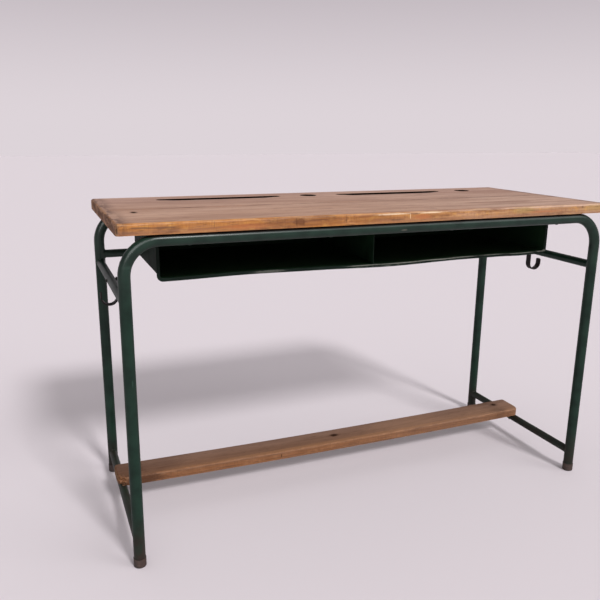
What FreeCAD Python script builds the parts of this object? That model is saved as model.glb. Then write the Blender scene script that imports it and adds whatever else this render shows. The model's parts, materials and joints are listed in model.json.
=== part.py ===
import FreeCAD, Part
import math
import os

from FreeCAD import Vector

# Double school desk with an open book tray under a fixed wooden top.
# Millimetres, +Z up, pupils sit on the -Y side, origin on the floor midway between the four legs.

# Wooden top
desk_height = 740.0
top_width = 1200.0
top_depth = 470.0
top_thickness = 24.0
front_board_depth = 217.0
top_corner_radius = 8.0
top_edge_radius = 5.0
joint_bevel = 0.8

# Pen grooves and inkwell holes, one of each for both pupils
seat_pitch = 490.0
left_groove_x = -290.0
groove_line_from_rear = 75.0
groove_length = 325.0
groove_width = 26.0
groove_depth = 10.0
inkwell_offset = 244.0
inkwell_diameter = 44.0

# Bent tube frames
frame_tube_diameter = 25.0
frame_tube_wall = 1.5
frame_bend_radius = 70.0

# Straight rails between the frames
rail_tube_diameter = 20.0
rail_tube_wall = 1.5
side_rail_drop = 122.5
cross_rail_drop = 101.5
lower_rail_height = 56.0

# Foot caps
cap_height = 20.0
cap_wall = 1.0
cap_floor = 3.0
cap_edge_radius = 2.0

# Book tray
sheet_thickness = 1.2
sheet_bend_radius = 1.5
tray_depth_below_top = 109.0
tray_corner_radius = 6.0
tray_hanger_width = 18.0
tray_end_gap = 53.0
tray_front_setback = 97.0
tray_rear_gap = 3.0
tray_back_hanger_width = 15.0
tray_back_hanger_end_gap = 20.0
tray_lip_width = 6.0
tray_mouth_radius = 1.0
divider_flange_width = 12.0
divider_setback = 4.0

# Footrest
footrest_depth = 78.0
footrest_thickness = 22.0
footrest_setback = 228.5
footrest_front_corner_radius = 20.0
footrest_rear_corner_radius = 8.0
footrest_edge_radius = 5.0

# Bag hooks
hook_gap = 33.0
hook_thickness = 3.0
hook_width = 16.0
hook_top_above_rail = 7.0
hook_arc_below_rail = 36.5
hook_tip_height = 11.5
hook_tip_radius = 5.0

# Fasteners
hole_clearance = 0.5
frame_screw_diameter = 5.0
frame_screw_head_diameter = 9.0
frame_screw_head_height = 3.2
frame_screw_bite = 15.0
frame_screw_count = 4
frame_screw_end_gap = 130.0
footrest_screw_bite = 14.0
footrest_screw_edge_gap = 24.0
tray_screw_diameter = 3.5
tray_screw_head_diameter = 7.5
tray_screw_head_height = 2.4
tray_screw_bite = 11.0
tray_side_screw_count = 3
tray_back_screw_count = 4
tray_divider_screw_count = 2
tray_screw_end_gap = 35.0
screw_point_length = 4.0
screw_slot_width = 1.2
screw_slot_depth = 1.4
rivet_diameter = 5.0
rivet_head_diameter = 9.0
rivet_head_height = 2.5

# Places worked out from the sizes above
top_underside = desk_height - top_thickness
top_front = -top_depth / 2
top_rear = top_depth / 2
board_joint_y = top_front + front_board_depth
frame_radius = frame_tube_diameter / 2
rail_radius = rail_tube_diameter / 2
leg_x = top_width / 2 - frame_radius
leg_y = top_depth / 2 - frame_radius
top_rail_z = top_underside - frame_radius
side_rail_z = top_rail_z - side_rail_drop
cross_rail_z = top_rail_z - cross_rail_drop
groove_line_y = top_rear - groove_line_from_rear
tray_hanger_x = leg_x - frame_radius - tray_end_gap
tray_inner_x = tray_hanger_x - tray_hanger_width - sheet_thickness
tray_floor_z = top_underside - tray_depth_below_top + sheet_thickness
tray_front = top_front + tray_front_setback
tray_back = leg_y - frame_radius - tray_rear_gap - tray_back_hanger_width
footrest_front = -leg_y + footrest_setback
footrest_rear = footrest_front + footrest_depth
footrest_underside = lower_rail_height + rail_radius
hook_inner_x = leg_x - rail_radius
hook_arc_z = side_rail_z - hook_arc_below_rail
sheet_fold = sheet_bend_radius + sheet_thickness
frame_screw_hole = frame_screw_diameter + hole_clearance
tray_screw_hole = tray_screw_diameter + hole_clearance
rivet_hole = rivet_diameter + hole_clearance
frame_screw_length = frame_tube_diameter + frame_screw_bite
footrest_screw_length = rail_tube_diameter + footrest_screw_bite
tray_screw_length = sheet_thickness + tray_screw_bite
tolerance = 1e-6
up = Vector(0, 0, 1)
along_x = Vector(1, 0, 0)
along_y = Vector(0, 1, 0)


def save(shape, node):
    shape.exportStep("parts/" + node + ".step")


def mirrored(shape):
    return shape.mirror(Vector(0, 0, 0), along_x)


def spread(count, first, last):
    step = (last - first) / (count - 1)
    return [first + i * step for i in range(count)]


def bent_path(points, radii):
    # Straight runs joined by tangent arcs, one radius for each inner point.
    edges = []
    start = points[0]
    for i, radius in enumerate(radii, 1):
        corner = points[i]
        back = (points[i - 1] - corner).normalize()
        ahead = (points[i + 1] - corner).normalize()
        half_angle = back.getAngle(ahead) / 2
        reach = radius / math.tan(half_angle)
        middle = (back + ahead).normalize() * (radius / math.sin(half_angle) - radius)
        arc_start = corner + back * reach
        arc_end = corner + ahead * reach
        if (arc_start - start).Length > tolerance:
            edges.append(Part.makeLine(start, arc_start))
        edges.append(Part.Arc(arc_start, corner + middle, arc_end).toShape())
        start = arc_end
    edges.append(Part.makeLine(start, points[-1]))
    return Part.Wire(edges)


def bent_sheet(points, radii, thickness, width):
    # Sheet of one thickness laid on a path and drawn out by a width vector.
    face = bent_path(points, radii).makeOffset2D(thickness, 0, True, True)
    return face.extrude(width)


def rod(start, end, radius):
    return Part.makeCylinder(radius, (end - start).Length, start, end - start)


def rounded_plan(x_half, y_front, y_rear, front_radius, rear_radius, z):
    # Plan outline of a board, with its four corners rounded.
    front = Vector(0, y_front, z)
    corners = [
        front,
        Vector(x_half, y_front, z),
        Vector(x_half, y_rear, z),
        Vector(-x_half, y_rear, z),
        Vector(-x_half, y_front, z),
        front,
    ]
    radii = [front_radius, rear_radius, rear_radius, front_radius]
    return Part.Face(bent_path(corners, radii))


def rim_edges(board, z):
    # Level edges of a board at one height.
    boxes = [(edge, edge.BoundBox) for edge in board.Edges]
    return [edge for edge, box in boxes if abs(box.ZMin - z) < tolerance and box.ZLength < tolerance]


def edges_on(shape, path):
    # Edges of a shape that lie along a path.
    found = []
    for edge in shape.Edges:
        middle = edge.valueAt((edge.FirstParameter + edge.LastParameter) / 2)
        if Part.Vertex(middle).distToShape(path)[0] < tolerance:
            found.append(edge)
    return found


def eased_board(plan, z, thickness, edge_radius):
    board = plan.extrude(up * thickness)
    return board.makeFillet(edge_radius, rim_edges(board, z + thickness))


def dome_arc(seat, base_radius, height):
    # Edge of a domed head that hangs below its seat, from the rim to the crown.
    half_angle = math.atan2(height, base_radius)
    radius = base_radius / math.sin(2 * half_angle)
    middle = Vector(radius * math.sin(half_angle), 0, radius - height - radius * math.cos(half_angle))
    return Part.Arc(seat + Vector(base_radius, 0, 0), seat + middle, seat - up * height).toShape()


def wood_screw(seat, diameter, head_diameter, head_height, length):
    # Slotted round-headed screw with a pointed end, driven upwards from its seat.
    head = dome_arc(seat, head_diameter / 2, head_height)
    neck = seat + Vector(diameter / 2, 0, 0)
    outline = Part.makePolygon([
        seat - up * head_height,
        seat + up * length,
        neck + up * (length - screw_point_length),
        neck,
        seat + Vector(head_diameter / 2, 0, 0),
    ])
    body = Part.Face(Part.Wire(outline.Edges + [head])).revolve(seat, up, 360)
    slot_corner = seat - Vector(head_diameter / 2, screw_slot_width / 2, head_height)
    return body.cut(Part.makeBox(head_diameter, screw_slot_width, screw_slot_depth, slot_corner))


def rivet(start, length):
    # Rivet set along +X from the face that its first head sits on.
    foot = Vector(0, 0, 0)
    far = up * length
    head = dome_arc(foot, rivet_head_diameter / 2, rivet_head_height)
    far_head = head.mirror(far / 2, up)
    rim = Vector(rivet_head_diameter / 2, 0, 0)
    neck = Vector(rivet_diameter / 2, 0, 0)
    axis_line = Part.makeLine(up * -rivet_head_height, far + up * rivet_head_height)
    side = Part.makePolygon([far + rim, far + neck, neck, rim])
    solid = Part.Face(Part.Wire([axis_line, far_head] + side.Edges + [head])).revolve(foot, up, 360)
    solid.rotate(foot, along_y, 90)
    solid.translate(start)
    return solid


def frame_screw_seats(y):
    first = -leg_x + frame_screw_end_gap
    z = top_rail_z - frame_radius
    return [Vector(x, y, z) for x in spread(frame_screw_count, first, -first)]


def footrest_screw_seats(x):
    first = footrest_front + footrest_screw_edge_gap
    last = footrest_rear - footrest_screw_edge_gap
    return [Vector(x, y, lower_rail_height - rail_radius) for y in (first, last)]


def tray_screw_seats():
    # Rows through both side hangers, the back hanger and the divider's hanger.
    z = top_underside - sheet_thickness
    first_y = tray_front + tray_screw_end_gap
    last_y = tray_back - tray_screw_end_gap
    side_x = tray_hanger_x - tray_hanger_width / 2
    side_y = spread(tray_side_screw_count, first_y, last_y)
    back_x = tray_inner_x - tray_back_hanger_end_gap - tray_screw_end_gap
    back_y = tray_back + tray_back_hanger_width / 2
    divider_x = divider_flange_width / 2
    seats = [Vector(x, y, z) for x in (-side_x, side_x) for y in side_y]
    seats += [Vector(x, back_y, z) for x in spread(tray_back_screw_count, -back_x, back_x)]
    seats += [Vector(divider_x, y, z) for y in spread(tray_divider_screw_count, first_y, last_y)]
    return seats


def drilled(shape, seats, diameter, depth):
    # Upright holes that start at the seats.
    return shape.cut([rod(seat, seat + up * depth, diameter / 2) for seat in seats])


frame_seats = frame_screw_seats(-leg_y) + frame_screw_seats(leg_y)
footrest_seats = footrest_screw_seats(-leg_x) + footrest_screw_seats(leg_x)
tray_seats = tray_screw_seats()


def frame(y):
    # One tube bent into both legs and the rail that carries the top.
    foot = Vector(-leg_x, y, cap_floor)
    corners = [
        foot,
        Vector(-leg_x, y, top_rail_z),
        Vector(leg_x, y, top_rail_z),
        Vector(leg_x, y, cap_floor),
    ]
    path = bent_path(corners, [frame_bend_radius, frame_bend_radius])
    outside = Part.Face(Part.Wire(Part.makeCircle(frame_radius, foot, up)))
    inside = Part.Face(Part.Wire(Part.makeCircle(frame_radius - frame_tube_wall, foot, up)))
    tube = path.makePipe(outside).cut(path.makePipe(inside))
    return drilled(tube, frame_screw_seats(y), frame_screw_hole, frame_tube_diameter)


def rail(start, end):
    # Tube between two leg axes, its ends coped to sit on the legs.
    tube = rod(start, end, rail_radius).cut(rod(start, end, rail_radius - rail_tube_wall))
    reach = up * frame_tube_diameter
    legs = [rod(point - reach, point + reach, frame_radius) for point in (start, end)]
    return tube.cut(legs)


def upper_side_rail():
    tube = rail(Vector(leg_x, -leg_y, side_rail_z), Vector(leg_x, leg_y, side_rail_z))
    middle = Vector(leg_x, 0, side_rail_z)
    reach = along_x * rail_tube_diameter
    return tube.cut(rod(middle - reach, middle + reach, rivet_hole / 2))


def lower_side_rail():
    tube = rail(Vector(leg_x, -leg_y, lower_rail_height), Vector(leg_x, leg_y, lower_rail_height))
    return drilled(tube, footrest_screw_seats(leg_x), frame_screw_hole, rail_tube_diameter)


def foot_cap():
    # Turned cup that the leg stands in.
    outer = frame_radius + cap_wall
    base = outer - cap_edge_radius
    slope = cap_edge_radius * math.sqrt(0.5)
    edge = Part.Arc(
        Vector(base, 0, 0),
        Vector(base + slope, 0, cap_edge_radius - slope),
        Vector(outer, 0, cap_edge_radius),
    ).toShape()
    outline = Part.makePolygon([
        Vector(outer, 0, cap_edge_radius),
        Vector(outer, 0, cap_height),
        Vector(frame_radius, 0, cap_height),
        Vector(frame_radius, 0, cap_floor),
        Vector(0, 0, cap_floor),
        Vector(0, 0, 0),
        Vector(base, 0, 0),
    ])
    return Part.Face(Part.Wire([edge] + outline.Edges)).revolve(Vector(0, 0, 0), up, 360)


def whole_top():
    corner = top_corner_radius
    plan = rounded_plan(top_width / 2, top_front, top_rear, corner, corner, top_underside)
    board = eased_board(plan, top_underside, top_thickness, top_edge_radius)
    board = drilled(board, frame_seats, frame_screw_diameter, frame_screw_length)
    return drilled(board, tray_seats, tray_screw_diameter, tray_screw_length)


def top_half(board, y_from, y_to):
    # One board of the top, with its long edge at the joint bevelled.
    left = -top_width / 2
    block = Part.makeBox(top_width, y_to - y_from, top_thickness, Vector(left, y_from, top_underside))
    half = board.common(block)
    bevel = Part.makePolygon([
        Vector(left, board_joint_y - joint_bevel, desk_height),
        Vector(left, board_joint_y + joint_bevel, desk_height),
        Vector(left, board_joint_y, desk_height - joint_bevel),
        Vector(left, board_joint_y - joint_bevel, desk_height),
    ])
    return half.cut(Part.Face(bevel).extrude(along_x * top_width))


def pen_groove(x):
    # Round-bottomed groove as a ball-nosed cutter leaves it.
    radius = (groove_width ** 2 / 4 + groove_depth ** 2) / (2 * groove_depth)
    z = desk_height - groove_depth + radius
    half_run = groove_length / 2 - groove_width / 2
    ends = [Vector(x - half_run, groove_line_y, z), Vector(x + half_run, groove_line_y, z)]
    balls = [Part.makeSphere(radius, end) for end in ends]
    return rod(ends[0], ends[1], radius).fuse(balls)


def rear_board(board):
    half = top_half(board, board_joint_y, top_rear)
    for groove_x in (left_groove_x, left_groove_x + seat_pitch):
        foot = Vector(groove_x + inkwell_offset, groove_line_y, top_underside)
        inkwell = rod(foot, foot + up * top_thickness, inkwell_diameter / 2)
        half = half.cut([pen_groove(groove_x), inkwell])
    return half


def tray_section(y):
    # Inner faces of the tray's floor and side walls, at one depth.
    return [
        Vector(-tray_inner_x, y, top_underside),
        Vector(-tray_inner_x, y, tray_floor_z),
        Vector(tray_inner_x, y, tray_floor_z),
        Vector(tray_inner_x, y, top_underside),
    ]


def tray_shell():
    # Floor, walls and hangers folded from one sheet, with a lip turned outwards round the mouth.
    section = tray_section(tray_front)
    left_end = Vector(-tray_hanger_x, tray_front, top_underside)
    right_end = Vector(tray_hanger_x, tray_front, top_underside)
    radii = [sheet_fold, tray_corner_radius, tray_corner_radius, sheet_fold]
    depth = along_y * (tray_back - tray_front)
    body = bent_sheet([left_end] + section + [right_end], radii, -sheet_thickness, depth)
    mouth_radii = [tray_corner_radius, tray_corner_radius]
    lip = bent_sheet(section, mouth_radii, -sheet_thickness - tray_lip_width, along_y * sheet_thickness)
    shell = body.fuse(lip).removeSplitter()
    shell = shell.makeFillet(tray_mouth_radius, edges_on(shell, bent_path(section, mouth_radii)))
    return drilled(shell, tray_seats, tray_screw_hole, sheet_thickness)


def tray_inside():
    section = tray_section(tray_front)
    edges = bent_path(section, [tray_corner_radius, tray_corner_radius]).Edges
    edges.append(Part.makeLine(section[-1], section[0]))
    return Part.Face(Part.Wire(edges)).extrude(along_y * top_depth)


def tray_back_panel():
    # Back plate with a hanger folded to the rear, cut to the tray's inside.
    hanger_x = tray_inner_x - tray_back_hanger_end_gap
    fold_z = top_underside - sheet_thickness
    points = [
        Vector(-tray_inner_x, tray_back, tray_floor_z),
        Vector(-tray_inner_x, tray_back, fold_z),
        Vector(-tray_inner_x, tray_back + tray_back_hanger_width, fold_z),
    ]
    panel = bent_sheet(points, [sheet_bend_radius], -sheet_thickness, along_x * 2 * tray_inner_x)
    panel = panel.common(tray_inside())
    corner = Vector(hanger_x, tray_back, top_underside - sheet_fold)
    trim = Part.makeBox(tray_back_hanger_end_gap, tray_back_hanger_width, sheet_fold, corner)
    panel = panel.cut([trim, mirrored(trim)])
    return drilled(panel, tray_seats, tray_screw_hole, sheet_thickness)


def tray_divider():
    # Upright sheet between the two places, with a foot and a hanger folded to one side.
    face_x = -sheet_thickness / 2
    front = tray_front + divider_setback
    points = [
        Vector(divider_flange_width, front, tray_floor_z),
        Vector(face_x, front, tray_floor_z),
        Vector(face_x, front, top_underside),
        Vector(divider_flange_width, front, top_underside),
    ]
    depth = along_y * (tray_back - sheet_thickness - front)
    divider = bent_sheet(points, [sheet_fold, sheet_fold], -sheet_thickness, depth)
    return drilled(divider, tray_seats, tray_screw_hole, sheet_thickness)


def footrest():
    plan = rounded_plan(
        top_width / 2,
        footrest_front,
        footrest_rear,
        footrest_front_corner_radius,
        footrest_rear_corner_radius,
        footrest_underside,
    )
    board = eased_board(plan, footrest_underside, footrest_thickness, footrest_edge_radius)
    return drilled(board, footrest_seats, frame_screw_diameter, footrest_screw_length)


def bag_hook():
    # Strip bent into a J on the inner side of the rail, its open arm outside.
    front = -hook_width / 2
    outer_x = hook_inner_x + hook_gap
    arc_bottom = hook_arc_z - hook_gap / 2
    points = [
        Vector(hook_inner_x, front, side_rail_z + hook_top_above_rail),
        Vector(hook_inner_x, front, arc_bottom),
        Vector(outer_x, front, arc_bottom),
        Vector(outer_x, front, hook_arc_z + hook_tip_height),
    ]
    strip = bent_sheet(points, [hook_gap / 2, hook_gap / 2], -hook_thickness, along_y * hook_width)
    end_edges = rim_edges(strip, points[0].z) + rim_edges(strip, points[-1].z)
    corners = [edge for edge in end_edges if edge.BoundBox.YLength < tolerance]
    strip = strip.makeFillet(hook_tip_radius, corners)
    pin = Vector(hook_inner_x - hook_thickness, 0, side_rail_z)
    return strip.cut(rod(pin, pin + along_x * hook_thickness, rivet_hole / 2))


def hook_rivet():
    start = Vector(hook_inner_x - hook_thickness, 0, side_rail_z)
    return rivet(start, hook_thickness + rail_tube_diameter)


def frame_screws(seats, length):
    head = (frame_screw_head_diameter, frame_screw_head_height)
    return Part.makeCompound([wood_screw(seat, frame_screw_diameter, *head, length) for seat in seats])


def tray_screws(seats, length):
    head = (tray_screw_head_diameter, tray_screw_head_height)
    return Part.makeCompound([wood_screw(seat, tray_screw_diameter, *head, length) for seat in seats])


os.makedirs("parts", exist_ok=True)

save(frame(-leg_y), "front_frame")
save(frame(leg_y), "rear_frame")
save(upper_side_rail(), "upper_side_rail_right")
save(mirrored(upper_side_rail()), "upper_side_rail_left")
save(lower_side_rail(), "lower_side_rail_right")
save(mirrored(lower_side_rail()), "lower_side_rail_left")
save(rail(Vector(-leg_x, leg_y, cross_rail_z), Vector(leg_x, leg_y, cross_rail_z)), "rear_cross_rail")

for row, y in (("front", -leg_y), ("rear", leg_y)):
    for side, x in (("left", -leg_x), ("right", leg_x)):
        save(foot_cap().translated(Vector(x, y, 0)), "foot_cap_" + row + "_" + side)

top = whole_top()
save(top_half(top, top_front, board_joint_y), "top_front_board")
save(rear_board(top), "top_rear_board")
save(frame_screws(frame_seats, frame_screw_length), "top_screws")

save(tray_shell(), "tray_shell")
save(tray_back_panel(), "tray_back_panel")
save(tray_divider(), "tray_divider")
save(tray_screws(tray_seats, tray_screw_length), "tray_screws")

save(footrest(), "footrest_board")
save(frame_screws(footrest_seats, footrest_screw_length), "footrest_screws")

save(bag_hook(), "bag_hook_right")
save(mirrored(bag_hook()), "bag_hook_left")
save(Part.makeCompound([hook_rivet(), mirrored(hook_rivet())]), "hook_rivets")
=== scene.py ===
import json
import math

import bpy
from mathutils import Matrix, Vector


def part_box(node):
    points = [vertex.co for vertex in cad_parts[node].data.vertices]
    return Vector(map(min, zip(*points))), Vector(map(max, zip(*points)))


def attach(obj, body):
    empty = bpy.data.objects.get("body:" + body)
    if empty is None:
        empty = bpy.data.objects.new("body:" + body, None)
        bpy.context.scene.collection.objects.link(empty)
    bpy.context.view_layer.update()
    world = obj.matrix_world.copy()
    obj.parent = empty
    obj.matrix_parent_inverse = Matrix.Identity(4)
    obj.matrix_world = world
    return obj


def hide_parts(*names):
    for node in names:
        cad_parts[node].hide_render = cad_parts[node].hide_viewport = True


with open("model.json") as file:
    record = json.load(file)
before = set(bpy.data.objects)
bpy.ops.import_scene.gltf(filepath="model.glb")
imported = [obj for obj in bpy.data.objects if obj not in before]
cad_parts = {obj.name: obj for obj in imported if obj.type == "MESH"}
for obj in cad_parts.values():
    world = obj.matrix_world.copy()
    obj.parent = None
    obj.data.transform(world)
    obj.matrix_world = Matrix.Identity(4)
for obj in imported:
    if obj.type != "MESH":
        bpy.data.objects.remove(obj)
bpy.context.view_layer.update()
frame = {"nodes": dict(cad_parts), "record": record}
nodes = frame["nodes"]
scene = bpy.context.scene
scene.view_settings.view_transform = "Standard"
print("desk loaded:", len(nodes), "pieces")

mm = 0.001
axisX = Vector((1, 0, 0))
axisY = Vector((0, 1, 0))
axisZ = Vector((0, 0, 1))


# Small helpers for building shader trees

def colour(red, green, blue):
    # screen values 0 to 255 turned into the linear values that a shader takes
    def linear(value):
        share = value / 255
        return share / 12.92 if share <= 0.04045 else ((share + 0.055) / 1.055) ** 2.4
    return (linear(red), linear(green), linear(blue), 1.0)


def setInput(tree, socket, value):
    # another node's socket is wired in, a plain value is typed in
    if isinstance(value, bpy.types.NodeSocket):
        tree.links.new(value, socket)
    elif value is not None:
        socket.default_value = value


def feed(tree, node, inputs):
    for name, value in inputs.items():
        setInput(tree, node.inputs[name], value)


def addNode(tree, kind, inputs=None, **settings):
    node = tree.nodes.new(kind)
    for name, value in settings.items():
        setattr(node, name, value)
    feed(tree, node, inputs or {})
    return node


def calc(tree, operation, first, second=None, clamp=False):
    node = addNode(tree, "ShaderNodeMath", operation=operation, use_clamp=clamp)
    setInput(tree, node.inputs[0], first)
    setInput(tree, node.inputs[1], second)
    return node.outputs[0]


def plus(tree, first, second):
    return calc(tree, "ADD", first, second)


def minus(tree, first, second):
    return calc(tree, "SUBTRACT", first, second)


def times(tree, *values):
    product = values[0]
    for value in values[1:]:
        product = calc(tree, "MULTIPLY", product, value)
    return product


def absolute(tree, value):
    return calc(tree, "ABSOLUTE", value)


def larger(tree, first, second):
    return calc(tree, "MAXIMUM", first, second)


def vectorCalc(tree, operation, first, second=None):
    node = addNode(tree, "ShaderNodeVectorMath", operation=operation)
    setInput(tree, node.inputs[0], first)
    setInput(tree, node.inputs[1], second)
    return node.outputs["Value"] if operation == "LENGTH" else node.outputs["Vector"]


def rise(tree, value, low, high):
    # 0 at low, 1 at high, smooth between, and falling where low is the larger
    inputs = {"Value": value, "From Min": low, "From Max": high}
    node = addNode(tree, "ShaderNodeMapRange", inputs, interpolation_type="SMOOTHSTEP")
    return node.outputs["Result"]


def between(tree, value, low, high):
    # a 0 to 1 value stretched over low to high
    inputs = {"Value": value, "To Min": low, "To Max": high}
    return addNode(tree, "ShaderNodeMapRange", inputs).outputs["Result"]


def uneven(tree, value, middle, less, more):
    # a 0 to 1 value that wanders to both sides of a middle
    return between(tree, value, middle - less, middle + more)


def mixColour(tree, share, first, second, blendType="MIX"):
    # a Mix node's colour sockets have these numbers
    node = addNode(tree, "ShaderNodeMix", data_type="RGBA", blend_type=blendType)
    setInput(tree, node.inputs[0], share)
    setInput(tree, node.inputs[6], first)
    setInput(tree, node.inputs[7], second)
    return node.outputs[2]


def lay(tree, tone, cover, *shares):
    # a colour laid over another, by all its shares multiplied
    return mixColour(tree, times(tree, *shares), tone, cover)


def noise(tree, place, stretch, shift=(0, 0, 0), detail=3.0, roughness=0.5, turn=(0, 0, 0)):
    # stretch is about how many lumps there are to the metre along X, Y and Z
    inputs = {"Vector": place, "Scale": stretch, "Location": shift, "Rotation": turn}
    mapping = addNode(tree, "ShaderNodeMapping", inputs)
    inputs = {"Vector": mapping.outputs[0], "Scale": 1.0, "Detail": detail, "Roughness": roughness}
    return addNode(tree, "ShaderNodeTexNoise", inputs).outputs["Fac"]


def sway(tree, place, *pattern):
    # a noise that swings to both sides of zero
    return minus(tree, noise(tree, place, *pattern), 0.5)


def parts(tree, vector):
    node = addNode(tree, "ShaderNodeSeparateXYZ", {"Vector": vector})
    return node.outputs["X"], node.outputs["Y"], node.outputs["Z"]


def newGroup(name, inputs, outputs):
    group = bpy.data.node_groups.new(name, "ShaderNodeTree")
    for label, value in inputs.items():
        isVector = value is None
        kind = "NodeSocketVector" if isVector else "NodeSocketFloat"
        socket = group.interface.new_socket(label, in_out="INPUT", socket_type=kind)
        if not isVector:
            socket.default_value = value
    for label in outputs:
        group.interface.new_socket(label, in_out="OUTPUT", socket_type="NodeSocketFloat")
    source = group.nodes.new("NodeGroupInput")
    result = group.nodes.new("NodeGroupOutput")
    return group, source.outputs, result


def useGroup(tree, group, inputs):
    return addNode(tree, "ShaderNodeGroup", inputs, node_tree=group).outputs


# Effects that several materials share
# A pattern is a noise's stretch, shift, detail, roughness and turn, and a pair is where an effect
# starts and where it is full.

grainDetail = {
    "swayAcross": ((1.4, 5, 5), (0, 0, 0), 2),
    "swayUp": ((1.4, 5, 5), (7, 3, 1), 2),
    "ripple": ((9, 26, 26), (2, 2, 8), 2),
    "rippleStrength": 0.9,
    "lateWood": (0.25, 0.88),
    "ringEnd": (1.0, 0.93),
    "ringTone": (0.25, 1.0),
    "Fibre": ((14, 780, 780), (0, 0, 0), 3, 0.6),
    "Streak": ((1.7, 75, 75), (2, 5, 9), 2),
    "Blotch": ((4, 14, 14), (5, 1, 4), 4),
    "Pores": ((45, 900, 900), (3, 7, 2), 1),
    "Checks": ((13, 150, 150), (1, 9, 4), 2),
    "limits": {"Pores": (0.66, 0.74), "Checks": (0.64, 0.72)},
}


def makePlankGrain():
    # rings round a pith that runs along X, so that faces, edges and ends agree
    detail = grainDetail
    inputs = {
        "Place": None, "Pith Across": 0.0, "Pith Up": -0.1,
        "Slant": 0.0, "Ring Width": 0.004, "Waver": 0.01,
    }
    plain = ("Fibre", "Streak", "Blotch")
    tree, given, made = newGroup("plankGrain", inputs, ("Rings", *plain, *detail["limits"]))
    place = given["Place"]
    along, across, up = parts(tree, place)
    swings = ("swayAcross", "swayUp", "ripple")
    swayAcross, swayUp, ripple = (sway(tree, place, *detail[name]) for name in swings)
    sideways = minus(tree, across, given["Pith Across"])
    sideways = plus(tree, sideways, times(tree, along, given["Slant"]))
    sideways = plus(tree, sideways, times(tree, swayAcross, given["Waver"]))
    upwards = minus(tree, up, given["Pith Up"])
    upwards = plus(tree, upwards, times(tree, swayUp, given["Waver"]))
    squares = plus(tree, calc(tree, "POWER", sideways, 2.0), calc(tree, "POWER", upwards, 2.0))
    ringCount = calc(tree, "DIVIDE", calc(tree, "SQRT", squares), given["Ring Width"])
    ringCount = plus(tree, ringCount, times(tree, ripple, detail["rippleStrength"]))
    throughRing = calc(tree, "FRACT", ringCount)
    ringNumber = {"W": calc(tree, "FLOOR", ringCount)}
    ringTones = addNode(tree, "ShaderNodeTexWhiteNoise", ringNumber, noise_dimensions="1D")
    ringTone = between(tree, ringTones.outputs["Value"], *detail["ringTone"])
    lateWood = rise(tree, throughRing, *detail["lateWood"])
    ringEnd = rise(tree, throughRing, *detail["ringEnd"])
    feed(tree, made, {"Rings": times(tree, lateWood, ringEnd, ringTone)})
    for name in plain:
        feed(tree, made, {name: noise(tree, place, *detail[name])})
    for name, limits in detail["limits"].items():
        feed(tree, made, {name: rise(tree, noise(tree, place, *detail[name]), *limits)})
    return tree


arrisDetail = {
    "turned": 0.02,           # how far a face has turned where an edge starts
    "patches": ((1, 1, 1), (0, 0, 0), 4, 0.65),
    "worn": (0.42, 0.62),
}


def makeArrisWear():
    # marks where a face turns over an edge, broken up into worn stretches
    inputs = {"Place": None, "Facing": None, "Breadth": 0.2, "Breaks": 20.0}
    tree, given, made = newGroup("arrisWear", inputs, ("Worn",))
    flatness = 0.0
    for side in parts(tree, given["Facing"]):
        flatness = larger(tree, flatness, absolute(tree, side))
    edge = rise(tree, minus(tree, 1.0, flatness), arrisDetail["turned"], given["Breadth"])
    scaled = addNode(tree, "ShaderNodeVectorMath", {"Scale": given["Breaks"]}, operation="SCALE")
    setInput(tree, scaled.inputs[0], given["Place"])
    patches = noise(tree, scaled.outputs[0], *arrisDetail["patches"])
    feed(tree, made, {"Worn": times(tree, edge, rise(tree, patches, *arrisDetail["worn"]))})
    return tree


damageDetail = {
    "flakes": ((170, 170, 170), (0, 0, 0), 5, 0.6),
    "regions": ((11, 11, 11), (3, 8, 2), 2),
    "regionStrength": 0.5,
    "chipLimit": 0.92,        # less chipRange where all the chips are asked for
    "chipRange": 0.2,
    "chipEdge": 0.02,
    "rimEdge": 0.03,
    "scratchLimit": 0.84,
    "scratchRange": 0.16,
    "scratchEdge": 0.03,
    "scratches": ((22, 900, 900), (1, 6, 3), 1, 0.5),
    "scratchTurns": ((0.2, 0.5, 0.1), (1.2, -0.4, 0.9)),
    "mottle": ((26, 26, 26), (4, 4, 7), 4),
}


def makePaintDamage():
    # chips down to the metal, the pale rim round them, long fine scratches and uneven colour
    detail = damageDetail
    inputs = {"Place": None, "Chips": 0.5, "Scratches": 0.5}
    tree, given, made = newGroup("paintDamage", inputs, ("Chip", "Rim", "Scratch", "Mottle"))
    place = given["Place"]
    regions = times(tree, sway(tree, place, *detail["regions"]), detail["regionStrength"])
    damage = plus(tree, noise(tree, place, *detail["flakes"]), regions)
    limit = minus(tree, detail["chipLimit"], times(tree, given["Chips"], detail["chipRange"]))
    scratched = times(tree, given["Scratches"], detail["scratchRange"])
    scratchLimit = minus(tree, detail["scratchLimit"], scratched)
    scratchFull = plus(tree, scratchLimit, detail["scratchEdge"])
    scratches = 0.0
    for turn in detail["scratchTurns"]:
        lines = noise(tree, place, *detail["scratches"], turn)
        scratches = larger(tree, scratches, rise(tree, lines, scratchLimit, scratchFull))
    feed(tree, made, {
        "Chip": rise(tree, damage, limit, plus(tree, limit, detail["chipEdge"])),
        "Rim": rise(tree, damage, minus(tree, limit, detail["rimEdge"]), limit),
        "Scratch": scratches,
        "Mottle": noise(tree, place, *detail["mottle"]),
    })
    return tree


dustDetail = {
    "facingUp": (0.2, 1.0),
    "film": ((40, 40, 40), (9, 2, 6), 4, 0.6),
    "shown": (0.3, 0.8),
}


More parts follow.
